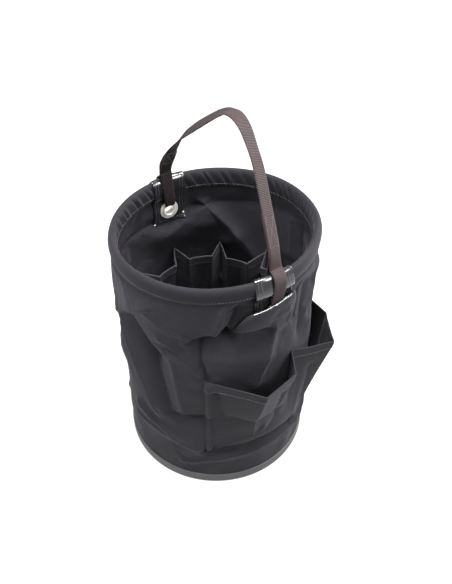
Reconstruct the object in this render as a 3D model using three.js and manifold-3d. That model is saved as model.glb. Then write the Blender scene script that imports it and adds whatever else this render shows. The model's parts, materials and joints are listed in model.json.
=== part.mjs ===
// Soft tool bucket: a fabric tube on a moulded tray, with a hooped rim, pockets inside and outside, and a webbing
// handle sewn through two eyelets. Millimetres, +Z up, origin at the centre of the tray's underside.
// The handle's two ends lie along X, so its fold axis is parallel to X.
import * as THREE from 'three';
import { mergeVertices } from 'three/addons/utils/BufferGeometryUtils.js';
import Module from 'manifold-3d';

const wasm = await Module();
wasm.setup();

// ---- Driving dimensions -------------------------------------------------------------------------------------------
const RING_STEPS = 48; // facets round every ring that is centred on the bucket

const TRAY_RADIUS = 142.5; // outer radius of the moulded tray
const TRAY_HEIGHT = 18;
const TRAY_FLOOR = 3; // thickness of the tray's floor
const TRAY_WALL = 2.6;

const WALL_RADIUS = 139.3; // outer face of the fabric tube at its two ends
const WALL_THICKNESS = 2;
const WALL_BOTTOM = 3.4;
const WALL_TOP = 384;

const FLOOR_PANEL_THICKNESS = 1.2; // fabric disc sewn to the foot of the tube
const BOARD_THICKNESS = 3.5; // loose stiffening board on the fabric floor
const BOARD_RADIUS = 134.5;

const HEM_THICKNESS = 1.5;
const HOOP_RADIUS = 137.2; // to the middle of the hoop's wire
const HOOP_WIRE_RADIUS = 3;
const HOOP_LEVEL = 389.8;

const PATCH_WIDTH = 52; // vinyl patch, measured round the rim
const PATCH_THICKNESS = 1.2;
const PATCH_HOLE_RADIUS = 9.5;

const EYELET_LEVEL = 341; // 55 below the top of the rim
const EYELET_BORE = 8; // radius
const EYELET_BARREL = 9; // outer radius of the barrel
const EYELET_FLANGE = 15; // outer radius of the flange
const FLANGE_FACE = 141.5; // the flange's back, on the patch's outer leaf
const WASHER_FACE = 134; // the washer's face, on the patch's inner leaf

const STRAP_WIDTH = 20;
const STRAP_THICKNESS = 1.8;
const STRAP_BUNCHED_WIDTH = 13; // where the webbing is squeezed through an eyelet
const FOLD_LEVEL = 420; // height of the handle's fold axis
const HANDLE_LEAN_DEGREES = 9; // the standing handle leans this far towards +Y

const POCKET_THICKNESS = 1.4;
const POCKET_GAP = 0.9; // between a pocket panel and the wall or the next panel
const INNER_POCKETS = 11;
const INNER_FIRST_SEAM_DEGREES = 178;
const INNER_TOP = 262;
const INNER_BOTTOM = 96;
const INNER_DEPTH = 27; // how far a gaping mouth stands off the wall
const OUTER_BOTTOM = 84;
const OUTER_TOP = 236;

const RADIANS = Math.PI / 180;

// ---- Materials ----------------------------------------------------------------------------------------------------
const finish = (color, roughness, metalness) => () => new THREE.MeshStandardMaterial({ color, roughness, metalness });
const trayPlastic = finish(0x5f5f62, 0.6, 0);
const boardPlastic = finish(0x2c2c2f, 0.7, 0);
const wallFabric = finish(0x33323a, 0.8, 0);
const pocketFabric = finish(0x36353d, 0.8, 0);
const patchVinyl = finish(0x131316, 0.2, 0);
const eyeletMetal = finish(0xc9c4ba, 0.25, 1);
const hoopSteel = finish(0x8b8c8e, 0.4, 1);
const webbing = finish(0x4a4041, 0.85, 0);

// ---- Helpers ------------------------------------------------------------------------------------------------------
const group = new THREE.Group();

function add(name, geometry, material, parent = group) {
  const mesh = new THREE.Mesh(geometry, material());
  mesh.name = name;
  parent.add(mesh);
  return mesh;
}

// A copy with shared corners merged and its faces pointing out.
function closed(source) {
  const bare = source.clone();
  for (const name of Object.keys(bare.attributes)) {
    if (name !== 'position') bare.deleteAttribute(name);
  }
  const geometry = mergeVertices(bare, 1e-4);
  const index = geometry.index.array;
  const corner = (i) => new THREE.Vector3().fromBufferAttribute(geometry.attributes.position, i);
  let volume = 0;
  const kept = [];
  for (let i = 0; i < index.length; i += 3) {
    const [a, b, c] = [index[i], index[i + 1], index[i + 2]];
    if (a === b || b === c || c === a) continue;
    kept.push([a, b, c]);
    volume += corner(a).dot(corner(b).cross(corner(c)));
  }
  geometry.setIndex(kept.flatMap(([a, b, c]) => (volume > 0 ? [a, b, c] : [a, c, b])));
  return geometry;
}

function solid(geometry) {
  const { attributes, index } = closed(geometry);
  const vertProperties = new Float32Array(attributes.position.array);
  return new wasm.Manifold(new wasm.Mesh({ numProp: 3, vertProperties, triVerts: new Uint32Array(index.array) }));
}

function geometryOf(manifold) {
  const { vertProperties, triVerts } = manifold.getMesh();
  const geometry = new THREE.BufferGeometry();
  geometry.setAttribute('position', new THREE.BufferAttribute(new Float32Array(vertProperties), 3));
  geometry.setIndex(new THREE.BufferAttribute(new Uint32Array(triVerts), 1));
  return geometry;
}

const points2 = (pairs) => pairs.map(([x, y]) => new THREE.Vector2(x, y));

// The outline of a strip of even thickness whose middle follows an open line of points.
function stripOutline(line, thickness) {
  const sides = [[], []];
  line.forEach((point, i) => {
    const before = line[Math.max(i - 1, 0)];
    const after = line[Math.min(i + 1, line.length - 1)];
    const along = after.clone().sub(before).normalize();
    const across = new THREE.Vector2(-along.y, along.x).multiplyScalar(thickness / 2);
    sides[0].push(point.clone().add(across));
    sides[1].unshift(point.clone().sub(across));
  });
  return [...sides[0], ...sides[1]];
}

// Turns a closed outline of (radius, height) about Z.
function ring(outline, steps = RING_STEPS) {
  const geometry = new THREE.LatheGeometry([...outline, outline[0]], steps);
  geometry.rotateX(Math.PI / 2);
  return closed(geometry);
}

// Turns an outline that starts and ends on the axis about Z.
function disc(outline, steps = RING_STEPS) {
  const geometry = new THREE.LatheGeometry(outline, steps);
  geometry.rotateX(Math.PI / 2);
  return closed(geometry);
}

// Pushes an outline of (x, height) through a width that is centred on the XZ plane.
function acrossY(outline, width, holes = [], steps = 1) {
  const shape = new THREE.Shape(outline);
  shape.holes = holes.map((hole) => new THREE.Path(hole));
  const geometry = new THREE.ExtrudeGeometry(shape, { depth: width, bevelEnabled: false, steps });
  geometry.translate(0, 0, -width / 2);
  geometry.rotateX(Math.PI / 2);
  return closed(geometry);
}

// A thin closed solid between two skins. point(u, v, side) gives the far skin for side 1 and the near skin for 0.
function panel(uSteps, vSteps, point) {
  const positions = [];
  const triangles = [];
  const row = uSteps + 1;
  const skin = row * (vSteps + 1);
  for (const side of [0, 1]) {
    for (let j = 0; j <= vSteps; j++) {
      for (let i = 0; i <= uSteps; i++) positions.push(...point(i / uSteps, j / vSteps, side));
    }
  }
  const quad = (a, b, c, d) => triangles.push(a, b, c, a, c, d);
  for (let j = 0; j < vSteps; j++) {
    for (let i = 0; i < uSteps; i++) {
      const at = j * row + i;
      quad(at, at + row, at + row + 1, at + 1);
      quad(skin + at, skin + at + 1, skin + at + row + 1, skin + at + row);
    }
  }
  for (let i = 0; i < uSteps; i++) {
    const top = vSteps * row + i;
    quad(i, i + 1, skin + i + 1, skin + i);
    quad(top, skin + top, skin + top + 1, top + 1);
  }
  for (let j = 0; j < vSteps; j++) {
    const left = j * row;
    const right = left + uSteps;
    quad(left, skin + left, skin + left + row, left + row);
    quad(right, right + row, skin + right + row, skin + right);
  }
  const geometry = new THREE.BufferGeometry();
  geometry.setAttribute('position', new THREE.Float32BufferAttribute(positions, 3));
  geometry.setIndex(triangles);
  return closed(geometry);
}

// ---- Base ---------------------------------------------------------------------------------------------------------
function baseTray() {
  const inner = TRAY_RADIUS - TRAY_WALL;
  const outline = points2([
    [0, 0],
    [TRAY_RADIUS - 4, 0],
    [TRAY_RADIUS - 1, 1.2],
    [TRAY_RADIUS, 4],
    [TRAY_RADIUS, TRAY_HEIGHT - 1],
    [TRAY_RADIUS - 0.8, TRAY_HEIGHT],
    [inner, TRAY_HEIGHT],
    [inner, TRAY_FLOOR],
    [0, TRAY_FLOOR],
  ]);
  add('base_tray', disc(outline), trayPlastic);
}

function plate(name, bottom, thickness, radius, material) {
  const outline = points2([
    [0, bottom],
    [radius, bottom],
    [radius, bottom + thickness],
    [0, bottom + thickness],
  ]);
  add(name, disc(outline), material);
}

// The fabric tube, with a hole for each eyelet.
function bodyWall() {
  const inner = WALL_RADIUS - WALL_THICKNESS;
  const outline = points2([
    [WALL_RADIUS, WALL_BOTTOM],
    [WALL_RADIUS, WALL_TOP],
    [inner, WALL_TOP],
    [inner, WALL_BOTTOM],
  ]);
  const drill = new THREE.CylinderGeometry(PATCH_HOLE_RADIUS, PATCH_HOLE_RADIUS, 2 * TRAY_RADIUS + 20, 20);
  drill.rotateZ(Math.PI / 2);
  drill.translate(0, 0, EYELET_LEVEL);
  add('body_wall', geometryOf(solid(ring(outline)).subtract(solid(drill))), wallFabric);
}

// ---- Rim ----------------------------------------------------------------------------------------------------------
// The hem is a sleeve folded over the hoop, open at the bottom, with one leg on each side of the wall.
function rimHem() {
  const middle = points2([
    [140.7, 374],
    [141.8, 380],
    [142.2, 388],
    [140.9, 392.6],
    [137.2, 395.2],
    [133.5, 392.6],
    [132, 388],
    [131.8, 378],
    [133.3, 368],
  ]);
  add('rim_hem', ring(stripOutline(middle, HEM_THICKNESS)), wallFabric);
}

function rimHoop() {
  const outline = [];
  const sides = 8;
  for (let i = 0; i < sides; i++) {
    const turn = (2 * Math.PI * i) / sides;
    const x = HOOP_RADIUS + HOOP_WIRE_RADIUS * Math.cos(turn);
    outline.push(new THREE.Vector2(x, HOOP_LEVEL + HOOP_WIRE_RADIUS * Math.sin(turn)));
  }
  add('rim_hoop', ring(outline), hoopSteel);
}

// A vinyl patch folded over the hem, with both leaves pierced for the eyelet.
function rimPatch(name, parent) {
  const middle = points2([
    [140.6, 318],
    [140.6, 341],
    [140.7, 364],
    [142.5, 374],
    [143.9, 381],
    [144.3, 388.5],
    [142.8, 394.4],
    [137.2, 397.8],
    [131.6, 394.4],
    [129.9, 388.5],
    [129.7, 377.5],
    [131.2, 366.5],
    [135.2, 356],
    [135.6, 341],
    [135.6, 318],
  ]);
  const flat = acrossY(stripOutline(middle, PATCH_THICKNESS), PATCH_WIDTH, [], 6);
  const position = flat.attributes.position;
  for (let i = 0; i < position.count; i++) {
    const turn = position.getY(i) / WALL_RADIUS;
    const radius = position.getX(i);
    position.setXYZ(i, radius * Math.cos(turn), radius * Math.sin(turn), position.getZ(i));
  }
  const drill = new THREE.CylinderGeometry(PATCH_HOLE_RADIUS, PATCH_HOLE_RADIUS, 40, 20);
  drill.rotateZ(Math.PI / 2);
  drill.translate(WALL_RADIUS, 0, EYELET_LEVEL);
  add(name, geometryOf(solid(flat).subtract(solid(drill))), patchVinyl, parent);
}

// Turns a closed outline of (radius, distance along +X) about the eyelet's axis.
function aboutEyelet(outline) {
  const geometry = new THREE.LatheGeometry([...outline, outline[0]], 24);
  geometry.rotateZ(-Math.PI / 2);
  geometry.translate(0, 0, EYELET_LEVEL);
  return closed(geometry);
}

function eyelet(name, washerName, parent) {
  const lip = WASHER_FACE - 1.6;
  const outline = points2([
    [EYELET_BORE, lip - 0.6],
    [EYELET_BORE + 1, lip - 1.2],
    [EYELET_BORE + 3, lip - 0.8],
    [EYELET_BORE + 3, lip],
    [EYELET_BARREL, lip],
    [EYELET_BARREL, FLANGE_FACE],
    [EYELET_FLANGE, FLANGE_FACE],
    [EYELET_FLANGE, FLANGE_FACE + 0.6],
    [EYELET_FLANGE - 2.5, FLANGE_FACE + 1.6],
    [EYELET_BORE + 1, FLANGE_FACE + 1.4],
    [EYELET_BORE, FLANGE_FACE + 0.4],
  ]);
  add(name, aboutEyelet(outline), eyeletMetal, parent);
  const washer = points2([
    [EYELET_BARREL + 0.3, WASHER_FACE],
    [EYELET_FLANGE - 0.5, WASHER_FACE],
    [EYELET_FLANGE - 0.5, WASHER_FACE - 0.6],
    [EYELET_FLANGE - 2, WASHER_FACE - 1.2],
    [EYELET_BARREL + 0.3, WASHER_FACE - 1.2],
  ]);
  add(washerName, aboutEyelet(washer), eyeletMetal, parent);
}

// ---- Handle -------------------------------------------------------------------------------------------------------
// Each end of the webbing goes down outside the rim, through the eyelet and up inside, and is sewn to itself in an
// upright tab. Both the tab and the foot of the arch are flat plates at right angles to X, side by side, so that the
// arch can fold about the X axis.
function strapLoop(name, parent) {
  const middle = new THREE.CatmullRomCurve3(
    [
      [146.2, 388],
      [144.6, 396.4],
      [138.6, 401],
      [131.8, 401],
      [127.6, 396],
      [127.2, 388],
      [127.2, 370],
      [127.6, 356],
      [128.8, 348],
      [131.6, 343],
      [136, 341.2],
      [140.5, 341.2],
      [143.6, 343],
      [145.6, 348],
      [146.2, 358],
      [146.2, 373],
    ].map(([x, z]) => new THREE.Vector3(x, z, 0)),
    true,
    'centripetal'
  );
  const steps = 44;
  const inside = [];
  const outside = [];
  for (let i = 0; i < steps; i++) {
    const at = middle.getPointAt(i / steps);
    const along = middle.getTangentAt(i / steps);
    const across = new THREE.Vector2(-along.y, along.x).multiplyScalar(STRAP_THICKNESS / 2);
    inside.push(new THREE.Vector2(at.x + across.x, at.y + across.y));
    outside.push(new THREE.Vector2(at.x - across.x, at.y - across.y));
  }
  const wide = solid(acrossY(outside, STRAP_WIDTH, [inside]));
  const narrow = solid(acrossY(outside, STRAP_BUNCHED_WIDTH, [inside]));
  const above = new THREE.BoxGeometry(60, 40, 100);
  above.translate(WALL_RADIUS, 0, EYELET_LEVEL + 9 + 50);
  const tab = new THREE.BoxGeometry(3.2, STRAP_WIDTH, 27);
  tab.translate(131.8, 0, FOLD_LEVEL + 8 - 13.5);
  add(name, geometryOf(wide.intersect(solid(above)).add(narrow).add(solid(tab))), webbing, parent);
}

// The arch's side view, as (x, distance above the fold axis). It isn't quite even, as slack webbing never is.
function strapArch() {
  const foot = 128.9;
  const curve = new THREE.CatmullRomCurve3(
    [
      [foot, -8],
      [foot, 2],
      [122, 20],
      [104, 50],
      [78, 90],
      [57, 111.5],
      [36, 128],
      [12, 134.5],
      [-12, 127],
      [-50, 98],
      [-98, 52],
      [-119, 24],
      [-foot, 2],
      [-foot, -8],
    ].map(([x, height]) => new THREE.Vector3(x, height, 0)),
    false,
    'centripetal'
  );
  const line = curve.getSpacedPoints(44).map((p) => new THREE.Vector2(THREE.MathUtils.clamp(p.x, -foot, foot), p.y));
  const arch = add('strap_arch', acrossY(stripOutline(line, STRAP_THICKNESS), STRAP_WIDTH), webbing);
  arch.rotation.x = -HANDLE_LEAN_DEGREES * RADIANS;
  arch.position.z = FOLD_LEVEL;
}

// ---- Pockets ------------------------------------------------------------------------------------------------------
// A pocket panel is sewn down both sides and along the bottom, and its mouth stands off the wall. folds is a list of
// [share of the pocket's width, stand-off of the mouth], with a straight stretch between each two folds.
function pocketPanel(name, fromDegrees, toDegrees, bottom, top, folds, side, uSteps) {
  const fabric = side > 0 ? WALL_RADIUS : WALL_RADIUS - WALL_THICKNESS;
  const trim = POCKET_GAP / fabric / RADIANS;
  const onRing = (share, radius) => {
    const turn = THREE.MathUtils.lerp(fromDegrees + trim, toDegrees - trim, share) * RADIANS;
    return new THREE.Vector2(radius * Math.cos(turn), radius * Math.sin(turn));
  };
  const mouthPoint = (u, radius) => {
    const next = Math.max(folds.findIndex(([share]) => share >= u - 1e-9), 1);
    const [[share0, off0], [share1, off1]] = [folds[next - 1], folds[next]];
    const start = onRing(share0, radius + side * off0);
    return start.lerp(onRing(share1, radius + side * off1), (u - share0) / (share1 - share0));
  };
  const geometry = panel(uSteps, 1, (u, v, far) => {
    const radius = fabric + side * (POCKET_GAP + (far ? POCKET_THICKNESS : 0));
    const point = v ? mouthPoint(u, radius) : onRing(u, radius);
    return [point.x, point.y, v ? top : bottom];
  });
  add(name, geometry, pocketFabric);
}

function outerPockets() {
  const large = [
    [0, 0],
    [0.5, 32],
    [0.8, 34],
    [1, 0],
  ];
  const small = [
    [0, 0],
    [0.2, 22],
    [0.4, 40],
    [1, 0],
  ];
  pocketPanel('outer_pocket_large', -38, 16, OUTER_BOTTOM, OUTER_TOP, large, 1, 10);
  pocketPanel('outer_pocket_small', 16, 59, OUTER_BOTTOM + 6, OUTER_TOP + 6, small, 1, 10);
}

function innerPockets() {
  const pitch = 360 / INNER_POCKETS;
  const gaping = [
    [0, 0],
    [0.2, INNER_DEPTH],
    [0.8, INNER_DEPTH],
    [1, 0],
  ];
  for (let i = 0; i < INNER_POCKETS; i++) {
    const to = INNER_FIRST_SEAM_DEGREES - i * pitch;
    pocketPanel(`inner_pocket_${i + 1}`, to - pitch, to, INNER_BOTTOM, INNER_TOP, gaping, -1, 5);
  }
}

// ---- Assembly -----------------------------------------------------------------------------------------------------
baseTray();
plate('floor_panel', WALL_BOTTOM, FLOOR_PANEL_THICKNESS, WALL_RADIUS - WALL_THICKNESS - 0.6, wallFabric);
plate('base_board', WALL_BOTTOM + FLOOR_PANEL_THICKNESS + 0.3, BOARD_THICKNESS, BOARD_RADIUS, boardPlastic);
bodyWall();
rimHem();
rimHoop();

for (const [side, turn] of [
  ['front', 0],
  ['back', Math.PI],
]) {
  const end = new THREE.Group();
  end.rotation.z = turn;
  group.add(end);
  rimPatch(`rim_patch_${side}`, end);
  eyelet(`eyelet_${side}`, `eyelet_washer_${side}`, end);
  strapLoop(`strap_loop_${side}`, end);
}
strapArch();
outerPockets();
innerPockets();

export default group;
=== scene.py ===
"""Visual model of the soft tool bucket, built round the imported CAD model.

Lengths are millimetres until a mesh is made. A place on the bucket is an angle in degrees round it (0 at the
front eyelet, on +X, counter-clockwise from above), a radius and a height.
"""
import json
import math

import bpy
import numpy as np
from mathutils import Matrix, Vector


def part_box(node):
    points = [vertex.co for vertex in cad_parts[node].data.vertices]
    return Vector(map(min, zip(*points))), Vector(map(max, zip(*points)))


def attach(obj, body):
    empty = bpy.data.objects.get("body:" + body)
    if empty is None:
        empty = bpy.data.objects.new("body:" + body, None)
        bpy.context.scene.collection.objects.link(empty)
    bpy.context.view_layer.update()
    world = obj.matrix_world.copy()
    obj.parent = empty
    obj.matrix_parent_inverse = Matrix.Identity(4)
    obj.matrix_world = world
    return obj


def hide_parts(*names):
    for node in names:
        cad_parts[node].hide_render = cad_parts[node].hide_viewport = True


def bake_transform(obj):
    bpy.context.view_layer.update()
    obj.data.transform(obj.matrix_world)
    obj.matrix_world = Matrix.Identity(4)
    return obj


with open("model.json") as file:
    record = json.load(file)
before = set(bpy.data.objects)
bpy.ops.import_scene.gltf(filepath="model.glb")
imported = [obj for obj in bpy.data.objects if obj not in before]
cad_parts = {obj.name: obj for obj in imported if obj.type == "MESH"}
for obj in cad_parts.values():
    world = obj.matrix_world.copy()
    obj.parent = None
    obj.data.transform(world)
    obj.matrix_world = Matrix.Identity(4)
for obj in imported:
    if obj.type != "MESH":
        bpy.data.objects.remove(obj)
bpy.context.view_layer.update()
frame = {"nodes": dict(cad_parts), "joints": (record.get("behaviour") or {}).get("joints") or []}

MM = 0.001


def cad(node, corner, axis):
    """One coordinate of a CAD node's box, in millimetres."""
    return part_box(node)[corner][axis] / MM


# ---- Driving dimensions, from the CAD model ----
LOW, HIGH = 0, 1
X, Y, Z = 0, 1, 2
WALL_OUTER = cad("body_wall", HIGH, X)
WALL_BOTTOM = cad("body_wall", LOW, Z)
WALL_TOP = cad("body_wall", HIGH, Z) - 4
WALL_MIDDLE = WALL_OUTER - 1.0
TRAY_RADIUS = cad("base_tray", HIGH, X)
TRAY_HEIGHT = cad("base_tray", HIGH, Z)
RIM_TOP = cad("rim_hem", HIGH, Z)
HEM_OUTER = cad("rim_hem", HIGH, X)
HEM_BOTTOM_OUT = RIM_TOP - 22
HEM_BOTTOM_IN = cad("rim_hem", LOW, Z)
HOOP_RADIUS = cad("rim_hoop", HIGH, X) - 3
HOOP_LEVEL = (cad("rim_hoop", HIGH, Z) + cad("rim_hoop", LOW, Z)) / 2
EYELET_LEVEL = (cad("eyelet_front", HIGH, Z) + cad("eyelet_front", LOW, Z)) / 2
EYELET_FACE = cad("eyelet_front", HIGH, X) - 1.6
WASHER_FACE = cad("eyelet_washer_front", HIGH, X)
PATCH_BOTTOM = cad("rim_patch_front", LOW, Z)
PATCH_HALF = cad("rim_patch_front", HIGH, Y)
FOLD_LEVEL = frame["joints"][0]["pos_m"][2] / MM
WALL_HALF = 0.65  # half the thickness of each cloth
HEM_HALF = 0.7
VINYL_HALF = 0.6
POCKET_HALF = 0.45
STRAP_HALF = 10.0  # half the webbing's width
STRAP_THICK = 1.7
STRAP_COLS, STRAP_ROWS = 9, 1900
RIB_PITCH = 2.0
HANDLE_LEAN = 9.0  # degrees, towards +Y
INNER_TOP = cad("inner_pocket_1", HIGH, Z)
INNER_BOTTOM = cad("inner_pocket_1", LOW, Z)
INNER_POCKETS = 11
INNER_FIRST_SEAM = 178.0  # degrees

SIDE = np.array([0.530, 0.848])  # the level direction towards which the slack rim rides up
RIM_TILT = 0.041


# ---- Small tools ----
def smooth(value, low, high):
    """0 below low, 1 above high, and an even S between them."""
    t = np.clip((np.asarray(value, float) - low) / (high - low), 0, 1)
    return t * t * (3 - 2 * t)


def turned(angle):
    """An angle brought to between -180 and 180 degrees."""
    return (np.asarray(angle, float) + 180) % 360 - 180


def polar(angle, radius, height):
    """Points from angles, radii and heights."""
    turn = np.radians(angle)
    parts = np.broadcast_arrays(radius * np.cos(turn), radius * np.sin(turn), height)
    return np.stack(parts, -1).astype(float)


def settle_shift(x, y, z):
    """How far the slack fabric has sunk, or ridden up, at a point."""
    return RIM_TILT * (x * SIDE[0] + y * SIDE[1]) * smooth(z, 40, 370)


def settle(points):
    points = np.array(points, float)
    points[..., 2] += settle_shift(points[..., 0], points[..., 1], points[..., 2])
    return points


def unit(vectors):
    return vectors / np.maximum(np.linalg.norm(vectors, axis=-1, keepdims=True), 1e-12)


def spline(points, count):
    """Evenly spaced points on a smooth curve through the given ones."""
    points = np.asarray(points, float)
    padded = np.concatenate([[2 * points[0] - points[1]], points, [2 * points[-1] - points[-2]]])
    out = []
    for k in range(1, len(padded) - 2):
        a, b, c, d = padded[k - 1:k + 3]
        t = np.linspace(0, 1, 24, endpoint=False)[:, None]
        square, cube = 2 * a - 5 * b + 4 * c - d, 3 * b - a - 3 * c + d
        out.append(0.5 * (2 * b + (c - a) * t + square * t**2 + cube * t**3))
    out.append(padded[-2][None])
    return resample(np.concatenate(out), count)


def resample(line, count):
    """A broken line with its points spread evenly along it."""
    along = distances(line)
    wanted = np.linspace(0, along[-1], count)
    return np.stack([np.interp(wanted, along, line[:, k]) for k in range(line.shape[1])], -1)


def distances(line):
    """How far along a broken line each of its points is."""
    return np.concatenate([[0], np.cumsum(np.linalg.norm(np.diff(line, axis=0), axis=1))])


def line_length(line):
    return float(np.linalg.norm(np.diff(line, axis=0), axis=1).sum())


def read_grid(field, row, col, around=False):
    """A grid's values between its points, at rows and columns that needn't be whole. around joins the last
    column to the first."""
    j, i = np.floor(row).astype(int), np.floor(col).astype(int)
    s, t = (col - i)[..., None], (row - j)[..., None]
    k = i + 1
    if around:
        i, k = i % field.shape[1], k % field.shape[1]
    low = field[j, i] * (1 - s) + field[j, k] * s
    high = field[j + 1, i] * (1 - s) + field[j + 1, k] * s
    return low * (1 - t) + high * t


def value_noise(seed, shape, rows, cols):
    """Soft random hills on a grid that closes on itself: rows by cols of them, drawn out to shape."""
    rng = np.random.default_rng(seed)
    hills = rng.normal(0, 1, (rows + 3, cols))
    v = np.linspace(0, rows - 1e-6, shape[0]) + 1
    u = np.linspace(0, cols, shape[1], endpoint=False)

    def weights(t):
        inner = (3 * t**3 - 6 * t**2 + 4) / 6, (-3 * t**3 + 3 * t**2 + 3 * t + 1) / 6
        return (1 - t) ** 3 / 6, *inner, t**3 / 6

    vi, ui = np.floor(v).astype(int), np.floor(u).astype(int)
    wv, wu = weights(v - vi), weights(u - ui)
    total = np.zeros(shape)
    for p in range(4):
        row = hills[np.clip(vi + p - 1, 0, hills.shape[0] - 1)]
        for q in range(4):
            total += wv[p][:, None] * wu[q][None, :] * row[:, (ui + q - 1) % cols]
    return total * 1.6


# ---- Meshes ----
def grid_faces(rows, cols, around=False):
    """The quads of a grid of points, row by row; around joins the last column to the first."""
    wide = cols if around else cols - 1
    j, i = np.meshgrid(np.arange(rows - 1), np.arange(wide), indexing="ij")
    k = (i + 1) % cols
    return np.stack([j * cols + i, j * cols + k, (j + 1) * cols + k, (j + 1) * cols + i], -1).reshape(-1, 4)


def point_normals(points, quads):
    corners = points[quads]
    face = np.cross(corners[:, 2] - corners[:, 0], corners[:, 3] - corners[:, 1])
    total = np.stack(
        [sum(np.bincount(quads[:, c], face[:, k], len(points)) for c in range(4)) for k in range(3)], -1
    )
    return unit(total)


def grid_normals(grid, around=False):
    rows, cols = grid.shape[:2]
    return point_normals(grid.reshape(-1, 3), grid_faces(rows, cols, around)).reshape(grid.shape)


def facing_out(points, quads):
    """The quads of a closed shell, turned over if they face inwards."""
    corners = points[quads]
    face = np.cross(corners[:, 2] - corners[:, 0], corners[:, 3] - corners[:, 1])
    return quads[:, ::-1] if (corners.mean(1) * face).sum() < 0 else quads


def thicken(points, quads, out, inward):
    """A closed shell: one skin out along the normals, one skin in, and sides along every open edge."""
    normals = point_normals(points, quads)
    out, inward = np.broadcast_to(out, len(points))[:, None], np.broadcast_to(inward, len(points))[:, None]
    count = len(points)
    edges = np.concatenate([quads[:, [c, (c + 1) % 4]] for c in range(4)])
    is_open = ~np.isin(edges[:, 0] * count + edges[:, 1], edges[:, 1] * count + edges[:, 0])
    a, b = edges[is_open].T
    sides = np.stack([b, a, a + count, b + count], -1)
    return np.concatenate([points + normals * out, points - normals * inward]), \
        np.concatenate([quads, quads[:, ::-1] + count, sides])


def put_object(name, data):
    """A new object in the scene."""
    thing = bpy.data.objects.new(name, data)
    bpy.context.scene.collection.objects.link(thing)
    return thing


def make_piece(name, points, faces, material, uv=None, body="bucket", slot=None, uv_period=None):
    """An object from points and quads. uv is each point's place on the cloth. Both are in millimetres."""
    used = np.unique(faces)
    place = np.full(len(points), -1)
    place[used] = np.arange(len(used))
    points, faces = points[used], place[faces]
    mesh = bpy.data.meshes.new(name)
    mesh.from_pydata((points * MM).tolist(), [], faces.tolist())
    mesh.polygons.foreach_set("use_smooth", np.ones(len(faces), bool))
    if uv is not None:
        uv = uv[used][faces]
        if uv_period:
            far = uv[..., 0] < uv[..., 0].max(1, keepdims=True) - uv_period / 2
            uv[..., 0] += far * uv_period
        layer = mesh.uv_layers.new(name="cloth")
        layer.data.foreach_set("uv", (uv * MM).astype(np.float32).reshape(-1))
    mesh.materials.append(material)
    mesh.update()
    piece = put_object(name, mesh)
    if body:
        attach(piece, body)
    return piece


def cloth_piece(name, grid, uv_grid, material, thick, around=False, drop=None, **more):
    """A sheet of fabric from a grid of points. drop says which points' quads are left out, as at a hole.
    thick is (out, in), each a number or a grid."""
    rows, cols = grid.shape[:2]
    quads = grid_faces(rows, cols, around)
    if drop is not None:
        quads = quads[~drop.reshape(-1)[quads].any(1)]
    points, uv = grid.reshape(-1, 3), uv_grid.reshape(-1, 2)
    out, inward = (np.broadcast_to(t, (rows, cols)).reshape(-1) for t in thick)
    points, faces = thicken(points, quads, out, inward)
    return make_piece(name, points, faces, material, np.concatenate([uv, uv]), **more)


def lathe(name, outline, material, steps=192, axis="z", centre=(0, 0, 0), flip=1, move=None, **more):
    """Turns a closed outline of (radius, distance along the axis). move shifts the points afterwards."""
    outline = np.asarray(outline, float)
    turn = np.linspace(0, 2 * np.pi, steps, endpoint=False)
    r, h = outline[:, 0][:, None], outline[:, 1][:, None]
    if axis == "z":
        grid = np.stack([r * np.cos(turn), r * np.sin(turn), h + 0 * turn], -1)
    else:
        grid = np.stack([flip * (h + 0 * turn), flip * r * np.cos(turn), r * np.sin(turn)], -1)
    grid = grid + np.asarray(centre, float)
    if move:
        grid = move(grid)
    quads = grid_faces(len(outline) + 1, steps, around=True) % (len(outline) * steps)
    points = grid.reshape(-1, 3)
    along = distances(outline)
    middle = outline[:, 0].mean()
    uv = np.stack(np.broadcast_arrays(turn * middle, along[:, None]), -1).reshape(-1, 2)
    quads = facing_out(points, quads)
    return make_piece(name, points, quads, material, uv, uv_period=2 * np.pi * middle, **more)


def stitch_row(line, normals, pitch, length, radius, lift=0.0):
    """Points and quads of a row of thread stitches along a line, standing on a surface with these normals."""
    total = line_length(line)
    count = max(int(total / pitch), 1)
    at = (np.arange(count) + 0.5) * total / count
    along = distances(line)

    def sample(values, where):
        return np.stack([np.interp(where, along, values[:, k]) for k in range(3)], -1)

    stations = np.array([-0.5, -0.38, 0, 0.38, 0.5]) * length
    swell = np.array([0.35, 0.85, 1.0, 0.85, 0.35])
    rise = np.array([-0.6, 0.15, 0.45, 0.15, -0.6])
    sides = 6
    spin = np.arange(sides) * 2 * np.pi / sides
    points, faces = [], []
    rings = len(stations)
    tile = grid_faces(rings, sides, around=True)
    caps = np.array([[3, 2, 1, 0], [5, 4, 3, 0]])
    end = (rings - 1) * sides
    far_caps = np.array([[0, 1, 2, 3], [0, 3, 4, 5]]) + end
    for k in range(count):
        where = at[k] + stations
        centre = sample(line, where)
        up = unit(sample(normals, where))
        forward = unit(sample(line, where + 0.2) - sample(line, where - 0.2) + 1e-9)
        side = np.cross(up, forward)
        ring = centre[:, None] + (up * (lift + radius * rise[:, None]))[:, None]
        ring = ring + radius * swell[:, None, None] * (
            np.cos(spin)[None, :, None] * side[:, None] + np.sin(spin)[None, :, None] * up[:, None]
        )
        base = len(points) * rings * sides
        points.append(ring.reshape(-1, 3))
        faces.append(np.concatenate([tile, caps, far_caps]) + base)
    return np.concatenate(points), np.concatenate(faces)


def thread_piece(name, rows, material, **more):
    """One object from several rows of stitches."""
    points, faces, base = [], [], 0
    for row_points, row_faces in rows:
        points.append(row_points)
        faces.append(row_faces + base)
        base += len(row_points)
    return make_piece(name, np.concatenate(points), np.concatenate(faces), material, **more)


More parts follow.
